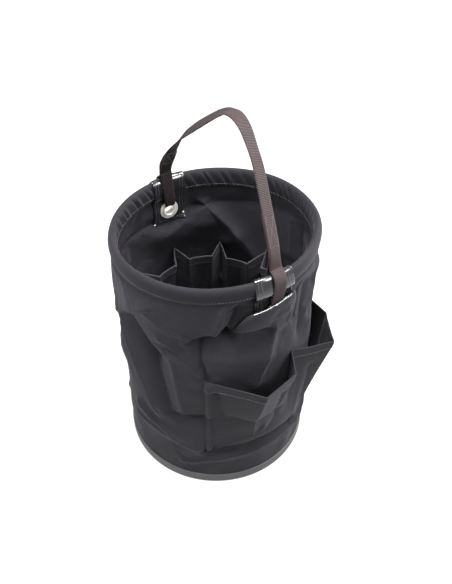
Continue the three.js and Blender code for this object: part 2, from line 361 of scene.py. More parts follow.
# ---- Camera, floor and lights ----
def photo_frame(x, y, z):
    """A point given to the right, away from the camera, and up."""
    return Vector((x * SIDE[0] - y * SIDE[1], x * SIDE[1] + y * SIDE[0], z))


def make_camera():
    data = bpy.data.cameras.new("camera")
    camera = put_object("camera", data)
    camera.location = (0.62218, -0.37051, 0.90905)
    camera.rotation_euler = (math.radians(48.59), 0, math.radians(58))
    data.lens = 40.87
    data.clip_start = 0.05
    bpy.context.scene.camera = camera


def soft_box(name, place, aim, width, height, power):
    """A square of light. place and aim are given as in photo_frame."""
    data = bpy.data.lights.new(name, "AREA")
    data.shape = "RECTANGLE"
    data.size, data.size_y = width, height
    data.energy = power
    lamp = put_object(name, data)
    lamp.location = photo_frame(*place)
    lamp.rotation_euler = (photo_frame(*aim) - lamp.location).to_track_quat("-Z", "Y").to_euler()


def make_studio():
    world = bpy.data.worlds.new("studio")
    bpy.context.scene.world = world
    world.use_nodes = True
    world.node_tree.nodes["Background"].inputs["Color"].default_value = (1, 1, 1, 1)
    world.node_tree.nodes["Background"].inputs["Strength"].default_value = 0.3
    size = 9.0
    mesh = bpy.data.meshes.new("floor")
    corners = [(x * size, y * size, 0) for x, y in ((-1, -1), (1, -1), (1, 1), (-1, 1))]
    mesh.from_pydata(corners, [], [(0, 1, 2, 3)])
    floor = put_object("floor", mesh)
    mesh.materials.append(floor_material())
    soft_box("right_box", (1.3, 0.55, 1.0), (0, 0, 0.25), 0.7, 0.9, 44)
    soft_box("left_box", (-1.1, -0.4, 1.05), (0, 0, 0.2), 0.6, 0.9, 28)
    soft_box("top_box", (0.1, -0.1, 1.9), (0, 0, 0.3), 0.8, 0.8, 105)
    soft_box("front_box", (0.85, -0.5, 0.95), (0, 0, 0.35), 0.5, 0.6, 16)
    bpy.context.scene.view_settings.view_transform = "Standard"


# ---- Materials ----
class Nodes:
    """A short way to write a material's nodes."""

    def __init__(self, name):
        self.material = bpy.data.materials.new(name)
        self.material.use_nodes = True
        self.tree = self.material.node_tree
        self.shader = self.tree.nodes["Principled BSDF"]
        self.cloth = self.add("ShaderNodeUVMap", uv_map="cloth").outputs["UV"]
        self.object = self.add("ShaderNodeTexCoord").outputs["Object"]

    def add(self, kind, links=None, values=None, **settings):
        node = self.tree.nodes.new(kind)
        for key, value in settings.items():
            setattr(node, key, value)
        for key, value in (values or {}).items():
            node.inputs[key].default_value = value
        for key, value in (links or {}).items():
            self.tree.links.new(value, node.inputs[key])
        return node

    def math(self, operation, a, b):
        node = self.add("ShaderNodeMath", {0: a}, operation=operation)
        if isinstance(b, bpy.types.NodeSocket):
            self.tree.links.new(b, node.inputs[1])
        else:
            node.inputs[1].default_value = b
        return node.outputs[0]

    def times(self, a, b):
        return self.math("MULTIPLY", a, b)

    def mix(self, *parts):
        """The sum of (value, share) parts."""
        total = self.times(*parts[0])
        for part in parts[1:]:
            total = self.math("ADD", total, self.times(*part))
        return total

    def noise(self, vector, scale, detail=3.0, rough=0.5):
        values = {"Scale": scale, "Detail": detail, "Roughness": rough}
        return self.add("ShaderNodeTexNoise", {"Vector": vector}, values).outputs["Fac"]

    def bands(self, axis, pitch, vector):
        """Waves across one axis of the vector, pitch millimetres apart."""
        values = {"Scale": 2 * math.pi / (20 * pitch * MM), "Distortion": 0.0}
        settings = {"wave_type": "BANDS", "bands_direction": axis, "wave_profile": "SIN"}
        return self.add("ShaderNodeTexWave", {"Vector": vector}, values, **settings).outputs["Fac"]

    def remap(self, value, low, high, to_low, to_high):
        values = {"From Min": low, "From Max": high, "To Min": to_low, "To Max": to_high}
        return self.add("ShaderNodeMapRange", {"Value": value}, values).outputs["Result"]

    def tint(self, factor, dark, light):
        """A colour between two, by a factor."""
        node = self.add("ShaderNodeMix", data_type="RGBA")
        node.inputs["A"].default_value = (*dark, 1)
        node.inputs["B"].default_value = (*light, 1)
        self.tree.links.new(factor, node.inputs["Factor"])
        return node.outputs["Result"]

    def bump(self, height, strength, distance, below=None):
        links = {"Height": height}
        if below is not None:
            links["Normal"] = below
        values = {"Strength": strength, "Distance": distance * MM}
        return self.add("ShaderNodeBump", links, values).outputs["Normal"]

    def join(self, socket, value):
        """Sets one of the shader's sockets, or links another node's output to it."""
        if isinstance(value, bpy.types.NodeSocket):
            self.tree.links.new(value, self.shader.inputs[socket])
        else:
            self.shader.inputs[socket].default_value = value


def shade(colour, factor):
    return tuple(channel * factor for channel in colour)


def canvas(name, colour, rough=0.72, weave=0.75, sheen=0.05):
    """Coated polyester canvas: a plain weave of yarns 0.75 mm apart, faint slubs, lint and cloudy wear."""
    n = Nodes(name)
    warp, weft = n.bands("X", weave, n.cloth), n.bands("Y", weave, n.cloth)
    cross = n.times(n.math("SUBTRACT", warp, 0.5), n.math("SUBTRACT", weft, 0.5))
    slub = n.noise(n.cloth, 420.0, 2.0)
    cloud = n.noise(n.object, 16.0, 4.0, 0.6)
    lint = n.noise(n.object, 900.0, 2.0, 0.7)
    mix = n.mix((cloud, 0.55), (slub, 0.45), (cross, 0.5))
    mix = n.math("ADD", mix, n.remap(lint, 0.66, 0.78, 0.0, 0.5))
    n.join("Base Color", n.tint(n.remap(mix, 0.25, 0.85, 0.0, 1.0), shade(colour, 0.72), shade(colour, 1.32)))
    n.join("Roughness", n.remap(cloud, 0.3, 0.7, rough - 0.06, rough + 0.08))
    n.join("Sheen Weight", sheen)
    n.join("Sheen Roughness", 0.45)
    n.join("Sheen Tint", (0.85, 0.83, 0.92, 1))
    n.join("Specular IOR Level", 0.1)
    first = n.bump(n.noise(n.object, 90.0, 3.0, 0.6), 0.25, 1.0)
    second = n.bump(cross, 0.35, 0.25, first)
    n.join("Normal", second)
    return n.material


def vinyl_material():
    """Black glossy sheet vinyl with a slightly wavy face, tiny pits and rubbed, duller patches."""
    n = Nodes("black_vinyl")
    haze = n.noise(n.object, 45.0, 4.0, 0.6)
    n.join("Base Color", n.tint(haze, (0.006, 0.006, 0.007), (0.016, 0.016, 0.018)))
    n.join("Roughness", n.remap(haze, 0.35, 0.75, 0.1, 0.3))
    n.join("Coat Weight", 0.6)
    n.join("Coat Roughness", 0.12)
    n.join("IOR", 1.6)
    wavy = n.bump(n.noise(n.object, 45.0, 2.0), 0.15, 1.0)
    pits = n.bump(n.noise(n.object, 900.0, 2.0), 0.12, 0.1, wavy)
    n.join("Normal", pits)
    return n.material


def nickel_material():
    """Lacquered nickel plate, a little yellow, with fine turning marks and a few scuffs."""
    n = Nodes("bright_nickel")
    scuff = n.noise(n.object, 260.0, 5.0, 0.7)
    n.join("Base Color", n.tint(scuff, (0.62, 0.58, 0.50), (0.86, 0.82, 0.74)))
    n.join("Metallic", 0.55)
    n.join("Roughness", n.remap(scuff, 0.4, 0.7, 0.28, 0.42))
    n.join("Normal", n.bump(n.noise(n.object, 700.0, 3.0), 0.15, 0.08))
    return n.material


def webbing_material():
    """Brown-grey ribbed webbing: a fine herringbone of yarns, dusty ribs, and painted shade darkening its
    back end.
    """
    n = Nodes("ribbed_webbing")
    across, along = n.bands("X", 1.1, n.cloth), n.bands("Y", RIB_PITCH, n.cloth)
    fuzz = n.noise(n.cloth, 700.0, 4.0, 0.7)
    cloud = n.noise(n.object, 25.0, 3.0)
    mix = n.mix((along, 0.75), (fuzz, 0.2), (cloud, 0.25))
    # painted shade: the colour darkens along -X, towards the back leg, in place of its shadow
    place = n.add("ShaderNodeSeparateXYZ", {"Vector": n.object}).outputs["X"]
    back_end_painted_shade = n.remap(place, -0.13, 0.05, 0.35, 1.0)
    ribs_dust_and_painted_shade = n.times(n.remap(mix, 0.2, 0.85, 0.0, 1.0), back_end_painted_shade)
    n.join("Base Color", n.tint(ribs_dust_and_painted_shade, (0.002, 0.0016, 0.0016), (0.044, 0.032, 0.033)))
    n.join("Roughness", n.remap(fuzz, 0.3, 0.7, 0.68, 0.86))
    n.join("Sheen Weight", 0.02)
    n.join("Sheen Roughness", 0.4)
    n.join("Specular IOR Level", 0.12)
    n.join("Normal", n.bump(n.times(across, along), 0.5, 0.25, n.bump(fuzz, 0.3, 0.2)))
    return n.material


def moulded_material(name, colour, rough):
    """Moulded plastic: a fine spark-eroded grain, faint flow marks and scattered scuffs."""
    n = Nodes(name)
    flow = n.noise(n.object, 12.0, 4.0, 0.6)
    grain = n.noise(n.object, 1300.0, 2.0)
    scuff = n.remap(n.noise(n.object, 160.0, 6.0, 0.75), 0.58, 0.72, 0.0, 1.0)
    mix = n.mix((flow, 0.6), (scuff, 0.3))
    n.join("Base Color", n.tint(mix, shade(colour, 0.82), shade(colour, 1.25)))
    n.join("Roughness", n.remap(flow, 0.3, 0.7, rough - 0.06, rough + 0.1))
    n.join("Normal", n.bump(grain, 0.25, 0.12, n.bump(flow, 0.1, 0.6)))
    return n.material


def thread_material():
    """Twisted bonded thread."""
    n = Nodes("thread")
    twist = n.noise(n.object, 1500.0, 3.0, 0.6)
    n.join("Base Color", n.tint(twist, (0.02, 0.02, 0.022), (0.07, 0.068, 0.072)))
    n.join("Roughness", 0.55)
    n.join("Normal", n.bump(twist, 0.5, 0.1))
    return n.material


def steel_material():
    n = Nodes("drawn_steel")
    mark = n.noise(n.object, 300.0, 4.0, 0.6)
    n.join("Base Color", n.tint(mark, (0.3, 0.3, 0.31), (0.5, 0.5, 0.52)))
    n.join("Metallic", 1.0)
    n.join("Roughness", n.remap(mark, 0.3, 0.7, 0.3, 0.5))
    n.join("Normal", n.bump(mark, 0.15, 0.1))
    return n.material


def floor_material():
    n = Nodes("studio_floor")
    n.join("Base Color", n.tint(n.noise(n.object, 3.0), (0.13, 0.13, 0.13), (0.15, 0.15, 0.15)))
    n.join("Emission Color", (1, 1, 1, 1))
    n.join("Emission Strength", 0.85)
    n.join("Roughness", 0.9)
    return n.material


# ---- The fabric tube ----
# Folds that the slack fabric has settled into, as they are seen on the wall. Each is a straight crease from
# one (angle, height) to another, how far it stands out in millimetres, its width on its upper or left side
# and, unless they are crease()'s own, how much wider it is on the other side and how sharp it is.
SEEN_LIFT = 3.0
FOLD_GAIN = 1.4
FOLDS = [
    # collar bulge on the left, and the dark band and bright ridge below it
    ((-99, 288), (-70, 338), 5, 16, 0.5, 1.2),
    ((-84, 296), (-69, 250), -7, 13, 1.0, 1.2),
    ((-69, 250), (-61, 166), -6, 13, 1.0, 1.2),
    ((-93, 264), (-72, 152), 6.5, 22, 0.5, 1.05),
    ((-112, 218), (-97, 205), -5, 16, 1.0, 1.6),
    ((-130, 286), (-100, 277), -4, 10, 1.0, 1.2),
    ((-122, 258), (-114, 180), 5, 20, 1.0, 1.5),
    # creases between the left ridge and the large pocket
    ((-66, 326), (-43, 305), 2, 9, 1.2),
    ((-61, 295), (-40, 244), 3.5, 8, 1.3),
    ((-57, 283), (-48, 262), -2.5, 6, 1.0, 1.2),
    ((-55, 262), (-51, 160), 5, 10),
    ((-56, 143), (-40, 148), -6, 11, 1.0, 1.3),
    ((-84, 122), (-41, 84), 5, 9, 1.6),
    ((-88, 92), (-46, 94), 2.5, 7, 1.2),
    ((-52, 40), (-18, 71), 2.5, 7),
    # the crease over the large pocket, the pillow of cloth under it and the valley at its left
    ((-42, 300), (-25, 312), -8, 7, 2.6),
    ((-25, 312), (-2, 310), -7, 8, 2.4),
    ((-34, 270), (-6, 268), 5, 17, 1.0, 1.7),
    ((-40, 298), (-37, 234), -5, 7),
    ((2, 304), (-9, 221), 6, 10),
    # pinches beside the front patch
    ((-27, 364), (-31, 322), 6, 7),
    ((-20, 362), (-25, 320), -6, 7),
    ((21, 350), (20, 296), -6, 8, 1.0, 1.3),
    ((31, 335), (27, 262), -6, 15, 1.0, 1.4),
    ((44, 352), (40, 290), 3, 10),
    ((58, 320), (60, 286), -9, 22, 1.0, 1.8),
    # under the outer pockets
    ((-37, 80), (20, 77), -5, 8, 1.0, 1.2),
    ((-30, 62), (25, 66), 3, 10),
    ((30, 60), (70, 82), 4, 10),
    # inside at the back: the collar band's crease, the bulge and the ridges below it
    ((-139, 308), (164, 325), 5, 9, 1.6),
    ((164, 325), (110, 338), 5, 9, 1.6),
    ((-176, 290), (160, 296), -7, 26, 1.0, 1.8),
    ((155, 327), (133, 276), -6, 12),
    ((133, 276), (114, 220), -4, 12),
    ((94, 335), (91, 280), -3, 10),
    ((85, 345), (79, 270), 4, 11),
    ((76, 330), (72, 270), -3, 10),
    # round the unseen back, left as quiet long folds
    ((100, 150), (140, 120), 4, 12, 1.4),
    ((150, 200), (120, 90), -5, 16, 1.0, 1.3),
    ((180, 170), (-150, 110), 4, 13, 1.3),
    ((-150, 240), (-125, 160), -5, 15, 1.0, 1.4),
    ((-165, 90), (-120, 70), 4, 10, 1.2),
    ((75, 210), (95, 110), 4, 13, 1.2),
]


# Under the front eyelet the wall has buckled: it runs out and up in front of the flange, and its crest
# carries the patch's lower edge.
LIP_CREST = PATCH_BOTTOM
LIP_START = PATCH_BOTTOM + 9
LIP_OUT = 10.5
LIP_UP = 43.5
LIP_ASIDE = -6.0


def lip(angle, height):
    """How far the wall under the front eyelet has moved out, aside and up."""
    side = turned(angle)
    near = 1 - smooth(np.abs(side), 12, 24)
    rise = np.clip((LIP_START - height) / (LIP_START - LIP_CREST), 0, 1)
    below = LIP_CREST - height
    lift = LIP_UP + 0.38 * (np.clip(side, -20, 20) - 1.5)
    falling = (1 - smooth(below, -10, 85)) / (1 - float(smooth(0, -10, 85)))
    out = np.where(below < 0, LIP_OUT * (1 - (1 - rise) ** 2),
                   (LIP_OUT + 2 * smooth(below, 0, 5)) * (1 - smooth(below, 4, 44)))
    up = np.where(below < 0, lift * rise**2, lift * falling)
    return out * near, LIP_ASIDE * up / LIP_UP * near, up * near


def crease(across, up, run_x, run_y, out, width, skew=1.0, power=1.1):
    """The height of one straight crease on flat cloth, at a place measured from the crease's start."""
    length = math.hypot(run_x, run_y)
    along_x, along_y = run_x / length, run_y / length
    share = (across * along_x + up * along_y) / length
    off = up * along_x - across * along_y
    past = np.maximum(np.abs(share - 0.5) - 0.5, 0) * length
    side = np.where(off > 0, width, width * skew)
    return out * np.exp(-((past / (1.1 * width)) ** 2)) * np.exp(-(np.abs(off) / side) ** power)


def relief(angle, height):
    """How far the wall stands out from a true cylinder, in millimetres."""
    spot = polar(angle, WALL_OUTER, height)
    seen = height + settle_shift(spot[..., 0], spot[..., 1], spot[..., 2]) - SEEN_LIFT
    seen += np.where(height < LIP_CREST, lip(angle, height)[2], 0)
    total = np.zeros(np.shape(seen))
    for start, end, out, width, *form in FOLDS:
        across = np.radians(turned(angle - start[0])) * WALL_OUTER
        run = math.radians(turned(end[0] - start[0])) * WALL_OUTER
        total += crease(across, seen - start[1], run, end[1] - start[1], FOLD_GAIN * out, width, *form)
    # the collar under the hem bellies out on the left
    total += 2.5 * np.exp(-((turned(angle + 110) / 60) ** 2)) * np.exp(-(((seen - 320) / 40) ** 2))
    return total * smooth(from_eyelet(angle, height), 18, 42)


def from_eyelet(angle, height):
    """How far a place on the cloth is from the nearer eyelet's middle."""
    near = np.minimum(np.abs(turned(angle)), np.abs(turned(angle - 180)))
    return np.hypot(np.radians(near) * WALL_OUTER, height - EYELET_LEVEL)


WALL_COLS, WALL_ROWS = 240, 104
wall_angles = np.linspace(-180, 180, WALL_COLS, endpoint=False)
wall_heights = np.linspace(WALL_BOTTOM + 0.6, WALL_TOP, WALL_ROWS)


def draped_wall():
    """The tube's middle surface as a grid of points: the folds first, then a cloth simulation that lets the
    slack fabric find its own creases round them."""
    angle, height = np.meshgrid(wall_angles, wall_heights)
    hold = smooth(height, 8, 40) * (1 - smooth(height, 356, 376))
    bumps = value_noise(11, angle.shape, 22, 44) * 0.35
    radius = WALL_MIDDLE + (relief(angle, height) + bumps) * hold
    grid = polar(angle, radius, height)
    mesh = bpy.data.meshes.new("draping")
    mesh.from_pydata((grid.reshape(-1, 3) * MM).tolist(), [], grid_faces(WALL_ROWS, WALL_COLS, True).tolist())
    piece = put_object("draping", mesh)
    pins = piece.vertex_groups.new(name="pins")
    is_held = (height < 12) | (height > 366) | (from_eyelet(angle, height) < 17)
    held = np.nonzero(is_held.reshape(-1))[0]
    pins.add(held.tolist(), 1.0, "REPLACE")
    cloth = piece.modifiers.new("cloth", "CLOTH")
    settings = cloth.settings
    settings.quality = 6
    settings.mass = 0.3
    settings.tension_stiffness = settings.compression_stiffness = 40
    settings.shear_stiffness = 20
    settings.bending_stiffness = 0.5
    settings.tension_damping = settings.compression_damping = settings.shear_damping = 15
    settings.bending_damping = 1
    settings.air_damping = 5
    settings.vertex_group_mass = "pins"
    settings.shrink_min = settings.shrink_max = -0.012
    settings.effector_weights.gravity = 0
    cloth.collision_settings.use_collision = False
    cloth.collision_settings.use_self_collision = False
    frames = 22
    cloth.point_cache.frame_start, cloth.point_cache.frame_end = 1, frames
    for number in range(1, frames + 1):
        bpy.context.scene.frame_set(number)
    done = piece.evaluated_get(bpy.context.evaluated_depsgraph_get())
    moved = np.empty(len(mesh.vertices) * 3, np.float32)
    done.data.vertices.foreach_get("co", moved)
    bpy.context.scene.frame_set(1)
    bpy.data.objects.remove(piece)
    bpy.data.meshes.remove(mesh)
    return moved.reshape(grid.shape).astype(float) / MM


def refine(grid):
    """Twice as many rows and columns, on smooth curves through the old points."""
    before, after, beyond = (np.roll(grid, k, 1) for k in (1, -1, -2))
    wide = np.stack([grid, (9 * (grid + after) - before - beyond) / 16], 2).reshape(len(grid), -1, 3)
    padded = np.concatenate([2 * wide[:1] - wide[1:2], wide, 2 * wide[-1:] - wide[-2:-1]])
    out = np.empty((2 * len(wide) - 1, wide.shape[1], 3))
    out[::2] = wide
    out[1::2] = (9 * (padded[1:-2] + padded[2:-1]) - padded[:-3] - padded[3:]) / 16
    return out


def with_lip(grid, angle, height):
    out, aside, up = lip(angle, height)
    turn = np.radians(angle)
    return grid + np.stack([out * np.cos(turn), out * np.sin(turn) + aside, up], -1)


plain_wall = refine(draped_wall())
WALL_ROWS, WALL_COLS = plain_wall.shape[:2]
wall_angles = np.linspace(-180, 180, WALL_COLS, endpoint=False)
wall_heights = np.linspace(WALL_BOTTOM + 0.6, WALL_TOP, WALL_ROWS)
wall_grid = settle(with_lip(plain_wall, *np.meshgrid(wall_angles, wall_heights)))
wall_normals = grid_normals(wall_grid, around=True)


def read_wall(field, angle, height):
    """A wall grid's value at any angle and height before settling."""
    u = ((np.asarray(angle, float) + 180) % 360) / 360 * WALL_COLS
    v = (np.asarray(height, float) - wall_heights[0]) / (wall_heights[-1] - wall_heights[0]) * (WALL_ROWS - 1)
    return read_grid(field, np.clip(v, 0, WALL_ROWS - 1.001), u, around=True)


def on_wall(angle, height, lift=0.0):
    """A point on the wall's middle surface, moved out by lift."""
    return read_wall(wall_grid, angle, height) + unit(read_wall(wall_normals, angle, height)) * lift


def make_wall(material):
    angle, height = np.meshgrid(wall_angles, wall_heights)
    uv = np.stack([np.radians(angle) * WALL_OUTER, height], -1)
    hole = from_eyelet(angle, height) < 11.5
    period = 2 * np.pi * WALL_OUTER
    wall = cloth_piece("fabric_wall", wall_grid, uv, material, (WALL_HALF, WALL_HALF), True, hole,
                       slot="wall_fabric", uv_period=period)
    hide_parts("body_wall")


# ---- Rim ----
# The hem's and the patches' middle lines, from the outside over the rim to the inside: (radius, height).
HEM_LINE = [
    (140.6, HEM_BOTTOM_OUT), (141.3, 378), (142.1, 384), (141.9, 389), (140.2, 393.2), (137.2, 395.1),
    (134.0, 393.0), (132.4, 388.5), (132.0, 382), (132.6, 375), (133.6, HEM_BOTTOM_IN + 0.3),
]


def make_hem(material):
    """The sleeve round the hoop: smooth outside, gathered into slanting pleats inside."""
    cols, rows = 900, 46
    line = spline(HEM_LINE, rows)
    angle = np.linspace(-180, 180, cols, endpoint=False)
    share = np.linspace(0, 1, rows)
    rng = np.random.default_rng(4)
    pleats = 54
    starts = np.cumsum(rng.uniform(0.5, 1.5, pleats))
    starts = (starts - starts[0]) / (starts[-1] + 1 - starts[0]) * 360 - 180
    depth = rng.uniform(0.35, 1.0, pleats + 1)
    grid = np.empty((rows, cols, 3))
    for j in range(rows):
        r, z = line[j]
        inner = float(smooth(share[j], 0.46, 0.68))
        slant = turned(angle + 13.0 * (share[j] - 0.5) + 0.6 * np.sin(np.radians(angle * 5)))
        k = np.searchsorted(starts, slant) - 1
        nxt = np.append(starts, 180.0)
        width = nxt[k + 1] - nxt[k]
        t = (slant - nxt[k]) / width
        tooth = np.where(t < 0.78, t / 0.78, (1 - t) / 0.22)
        tooth = tooth * tooth * (3 - 2 * tooth)
        pleat = (0.5 - tooth) * depth[k] * 3.0 * inner
        wave = 0.35 * np.sin(np.radians(angle * 7 + 40)) * (1 - inner) * smooth(share[j], 0.0, 0.1)
        radius = r - pleat + wave
        lift = -0.5 * tooth * depth[k] * inner * (1 if share[j] < 0.8 else 2.2)
        grid[j] = polar(angle, radius, z + lift)
    period = 2 * np.pi * HEM_OUTER
    along = np.linspace(0, line_length(line), rows)
    uv = np.stack(np.meshgrid(np.radians(angle) * HEM_OUTER, along), -1)
    hem = cloth_piece("hem", settle(grid), uv, material, (HEM_HALF, HEM_HALF), True,
                      slot="hem_fabric", uv_period=period)
    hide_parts("rim_hem")


def make_hem_stitches(material):
    angle = np.linspace(-180, 180, 721)
    rows = []
    for radius, height, facing in ((141.6, HEM_BOTTOM_OUT + 2.6, 1), (131.6, HEM_BOTTOM_IN + 4.0, -1)):
        line = settle(polar(angle, radius, height))
        normal = polar(angle, float(facing), 0.0)
        rows.append(stitch_row(line, normal, 4.2, 3.1, 0.38, 0.0))
    thread_piece("hem_stitching", rows, material, slot="hem_fabric")


def make_hoop(material):
    turn = np.linspace(0, 2 * np.pi, 16, endpoint=False)
    outline = np.stack([HOOP_RADIUS + 2.9 * np.cos(turn), HOOP_LEVEL + 2.9 * np.sin(turn)], -1)
    hoop = lathe("hoop", outline, material, move=settle, slot="hoop_steel")
    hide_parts("rim_hoop")


PATCH_LINE = [
    (140.7, PATCH_BOTTOM - 1.6), (140.7, 330), (140.7, 341), (140.8, 352), (141.0, 362), (142.0, 367.5),
    (144.6, 372.5), (146.0, 376.5), (145.4, 381), (143.4, 386.5), (141.2, 391.6), (139.6, 395.2),
    (137.2, 397.3), (133.2, 395.6), (130.6, 391), (129.8, 384), (130.0, 376), (131.4, 368), (134.6, 359),
    (135.5, 352), (135.5, 341), (135.5, 330), (135.5, PATCH_BOTTOM),
]


def patch_grid(turn_to, rows=150, cols=61):
    """The patch's middle surface. turn_to is the angle that it is centred on."""
    line = spline(PATCH_LINE, rows)
    along = np.linspace(0, line_length(line), rows)
    across = np.linspace(-1, 1, cols) * PATCH_HALF
    angle = turn_to + np.degrees(across / WALL_OUTER)
    grid = np.empty((rows, cols, 3))
    tangent = unit(np.gradient(line, axis=0))
    for j, (r, z) in enumerate(line):
        sway = relief_read(angle, z)
        follow = float(1 - smooth(z, 358, 372))
        puff = 0.5 * (1 - (across / PATCH_HALF) ** 2) * float(smooth(z, 366, 380))
        ripple = 0.1 * np.sin(across * 0.3 + z * 0.11) * (1 - 0.6 * follow)
        radius = r + sway * follow + (puff + ripple) * tangent[j, 1]
        grid[j] = settle(polar(angle, radius, z - (puff + ripple) * tangent[j, 0]))
        if r > WALL_MIDDLE and z < 364:
            hug = 1 - float(smooth(z, 348, 364))
            near = on_wall(angle, z, 1.35 + 0.1 * ripple[..., None])
            grid[j] = near * hug + grid[j] * (1 - hug)
    uv = np.stack(np.meshgrid(across, along), -1)
    return grid, uv, line, angle


def relief_read(angle, height):
    """The draped wall's own distance from a true cylinder, leaving out the lip."""
    spot = read_wall(plain_wall, angle, np.clip(height, wall_heights[0], wall_heights[-1]))
    return np.hypot(spot[..., 0], spot[..., 1]) - WALL_MIDDLE


def make_patch(side, turn_to, material, thread):
    grid, uv, line, angle = patch_grid(turn_to)
    around = np.radians(angle - turn_to) * WALL_OUTER
    hole = np.hypot(around[None, :], line[:, 1][:, None] - EYELET_LEVEL) < 10.5
    patch = cloth_piece(f"patch_{side}", grid, uv, material, (VINYL_HALF, VINYL_HALF), drop=hole,
                        slot="patch_vinyl")
    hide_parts(f"rim_patch_{side}")
    seams = []
    normals = grid_normals(grid)
    for col in (4, 9, -10, -5):
        seams.append(stitch_row(grid[3:-3, col], normals[3:-3, col], 3.6, 2.6, 0.32, 0.62))
    for row in (4, -5):
        seams.append(stitch_row(grid[row, 3:-3], normals[row, 3:-3], 3.6, 2.6, 0.32, 0.62))
    thread_piece(f"patch_stitching_{side}", seams, thread, slot="patch_vinyl")


# Outlines of the metal, as (radius, distance along the axis). ROLL is the eyelet's rolled inner end, measured
# from the bore and the roll's foot. The others are the flange and the ridged washer.
BORE, BARREL, FLANGE = 8.0, 9.0, 15.0
ROLL = [
    (0, -0.5), (0.4, -1.0), (1.2, -1.25), (2.1, -1.15), (2.8, -0.8), (3.0, -0.3), (2.8, 0),
    (BARREL + 0.3 - BORE, 0), (BARREL - BORE, 0.3),
]
FLANGE_FACE = [
    (BARREL, -0.2), (BARREL + 0.3, 0), (FLANGE - 0.3, 0), (FLANGE, 0.15), (FLANGE - 0.2, 0.6),
    (FLANGE - 1.2, 1.15), (FLANGE - 2.8, 1.55), (BORE + 3.0, 1.62), (BORE + 1.5, 1.45), (BORE + 0.5, 1.0),
    (BORE, 0.3),
]
RIDGES = [
    (BARREL + 0.4, 0), (FLANGE - 0.4, 0), (FLANGE - 0.1, 0.3), (FLANGE - 0.2, 1.35), (FLANGE - 0.5, 1.55),
    (FLANGE - 1.8, 0.65), (FLANGE - 2.0, 0.7), (FLANGE - 2.1, 1.5), (FLANGE - 2.3, 1.55),
    (FLANGE - 3.5, 0.72), (FLANGE - 3.7, 0.8), (FLANGE - 3.8, 1.5), (FLANGE - 4.0, 1.55),
    (BARREL + 0.6, 0.9), (BARREL + 0.4, 0.6),
]


def make_eyelets(metal):
    roll = WASHER_FACE - 1.6
    body = [(BORE + r, roll + x) for r, x in ROLL] + [(r, EYELET_FACE + x) for r, x in FLANGE_FACE]
    ridged = [(r, WASHER_FACE - x) for r, x in RIDGES]
    for side, flip in (("front", 1), ("back", -1)):
        drop = float(settle_shift(*polar(0 if flip > 0 else 180, WALL_OUTER, EYELET_LEVEL)))
        for name, outline in (("eyelet", body), ("eyelet_washer", ridged)):
            ring = lathe(f"{name}_ring_{side}", outline, metal, 96, "x", (0, 0, EYELET_LEVEL + drop), flip,
                         slot="eyelet_metal")
            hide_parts(f"{name}_{side}")


# ---- Handle ----
# The arch's side view: (distance along X, height above the fold axis), from the front foot to the back foot.
ARCH = [
    (131.5, -6), (130.5, 3), (122, 20), (104, 50), (78, 90), (57, 111.5), (36, 127.5), (13, 132.5),
    (-12, 123), (-50, 95), (-82, 69.5), (-99, 53.5), (-119, 25), (-130.5, 3), (-131.5, -6),
]
# From under the arch's foot: over the rim, down outside, in through the eyelet, up inside. (radius, height)
LOOP = [
    (133.6, 403.8), (138.2, 400.6), (143.4, 396.2), (147.2, 388.5), (147.9, 377), (146.4, 366), (145.6, 356),
    (144.4, 350.4), (140.6, 347.9), (136, 347.6), (131.8, 348.8), (128.8, 353), (127.4, 361), (126.8, 373),
    (127.0, 386), (127.4, 396), (128.6, 405), (129.4, 412),
]
FRONT_END, BACK_END = 60, 33  # lengths of the sewn ends
# How far the webbing is twisted about its own line, in degrees: (distance along X, twist), front to back.
TWIST = [
    (132, 14), (60, 15), (50, 10), (40, 4), (28, -4), (16, -12), (4, -14), (-7, -30), (-23, -40), (-43, -44),
    (-66, -46), (-91, -41), (-100, -36), (-107, -23), (-116, -11), (-124, -2), (-132, 0),
]


def lean(points):
    """Tips the handle over to its resting lean, about the fold axis."""
    points = np.array(points, float)
    height = points[..., 2] - FOLD_LEVEL
    turn = np.radians(HANDLE_LEAN) * smooth(height, -14, 16)
    y = points[..., 1]
    points[..., 1], points[..., 2] = (
        y * np.cos(turn) + height * np.sin(turn),
        FOLD_LEVEL + height * np.cos(turn) - y * np.sin(turn),
    )
    return points


def strap_line():
    """The middle line of the whole webbing in the XZ plane, from one sewn end to the other."""
    arch = spline([(x, FOLD_LEVEL + h) for x, h in ARCH], 400)
    tangent = unit(np.gradient(arch, axis=0))
    under = arch + np.stack([tangent[:, 1], -tangent[:, 0]], -1) * -(STRAP_THICK + 0.25)
    reach = distances(arch)

    to_go = reach[-1] - reach
    front_end = under[(reach > 4) & (reach < FRONT_END)][::-1]
    back_end = under[(to_go > 4) & (to_go < BACK_END)]
    loop = np.array(LOOP)
    path = np.concatenate([front_end[::8], loop[::-1], arch[6:-6:8], loop * [-1, 1], back_end[::8]])
    return spline(path, STRAP_ROWS)


def strap_width(line):
    """Half the webbing's width along its line: bunched where it goes through an eyelet."""
    return STRAP_HALF - 0.8 * (1 - smooth(line[:, 1], 400, 440)) - 3.6 * at_eyelet(line)


def at_eyelet(line):
    """1 where the webbing is in an eyelet's bore, falling to 0 a strap's width away."""
    near = np.hypot(np.abs(line[:, 0]) - 138.5, line[:, 1] - 348)
    return np.exp(-((near / 9.0) ** 2))


def sideways(line):
    """How far the webbing has slid along the rim, to +Y at the front and to -Y at the back."""
    reach = np.where(line[:, 1] > 400, 65, 30)
    return np.where(line[:, 0] > 0, 4.6, -3.0) * np.exp(-(((line[:, 1] - 400) / reach) ** 2))


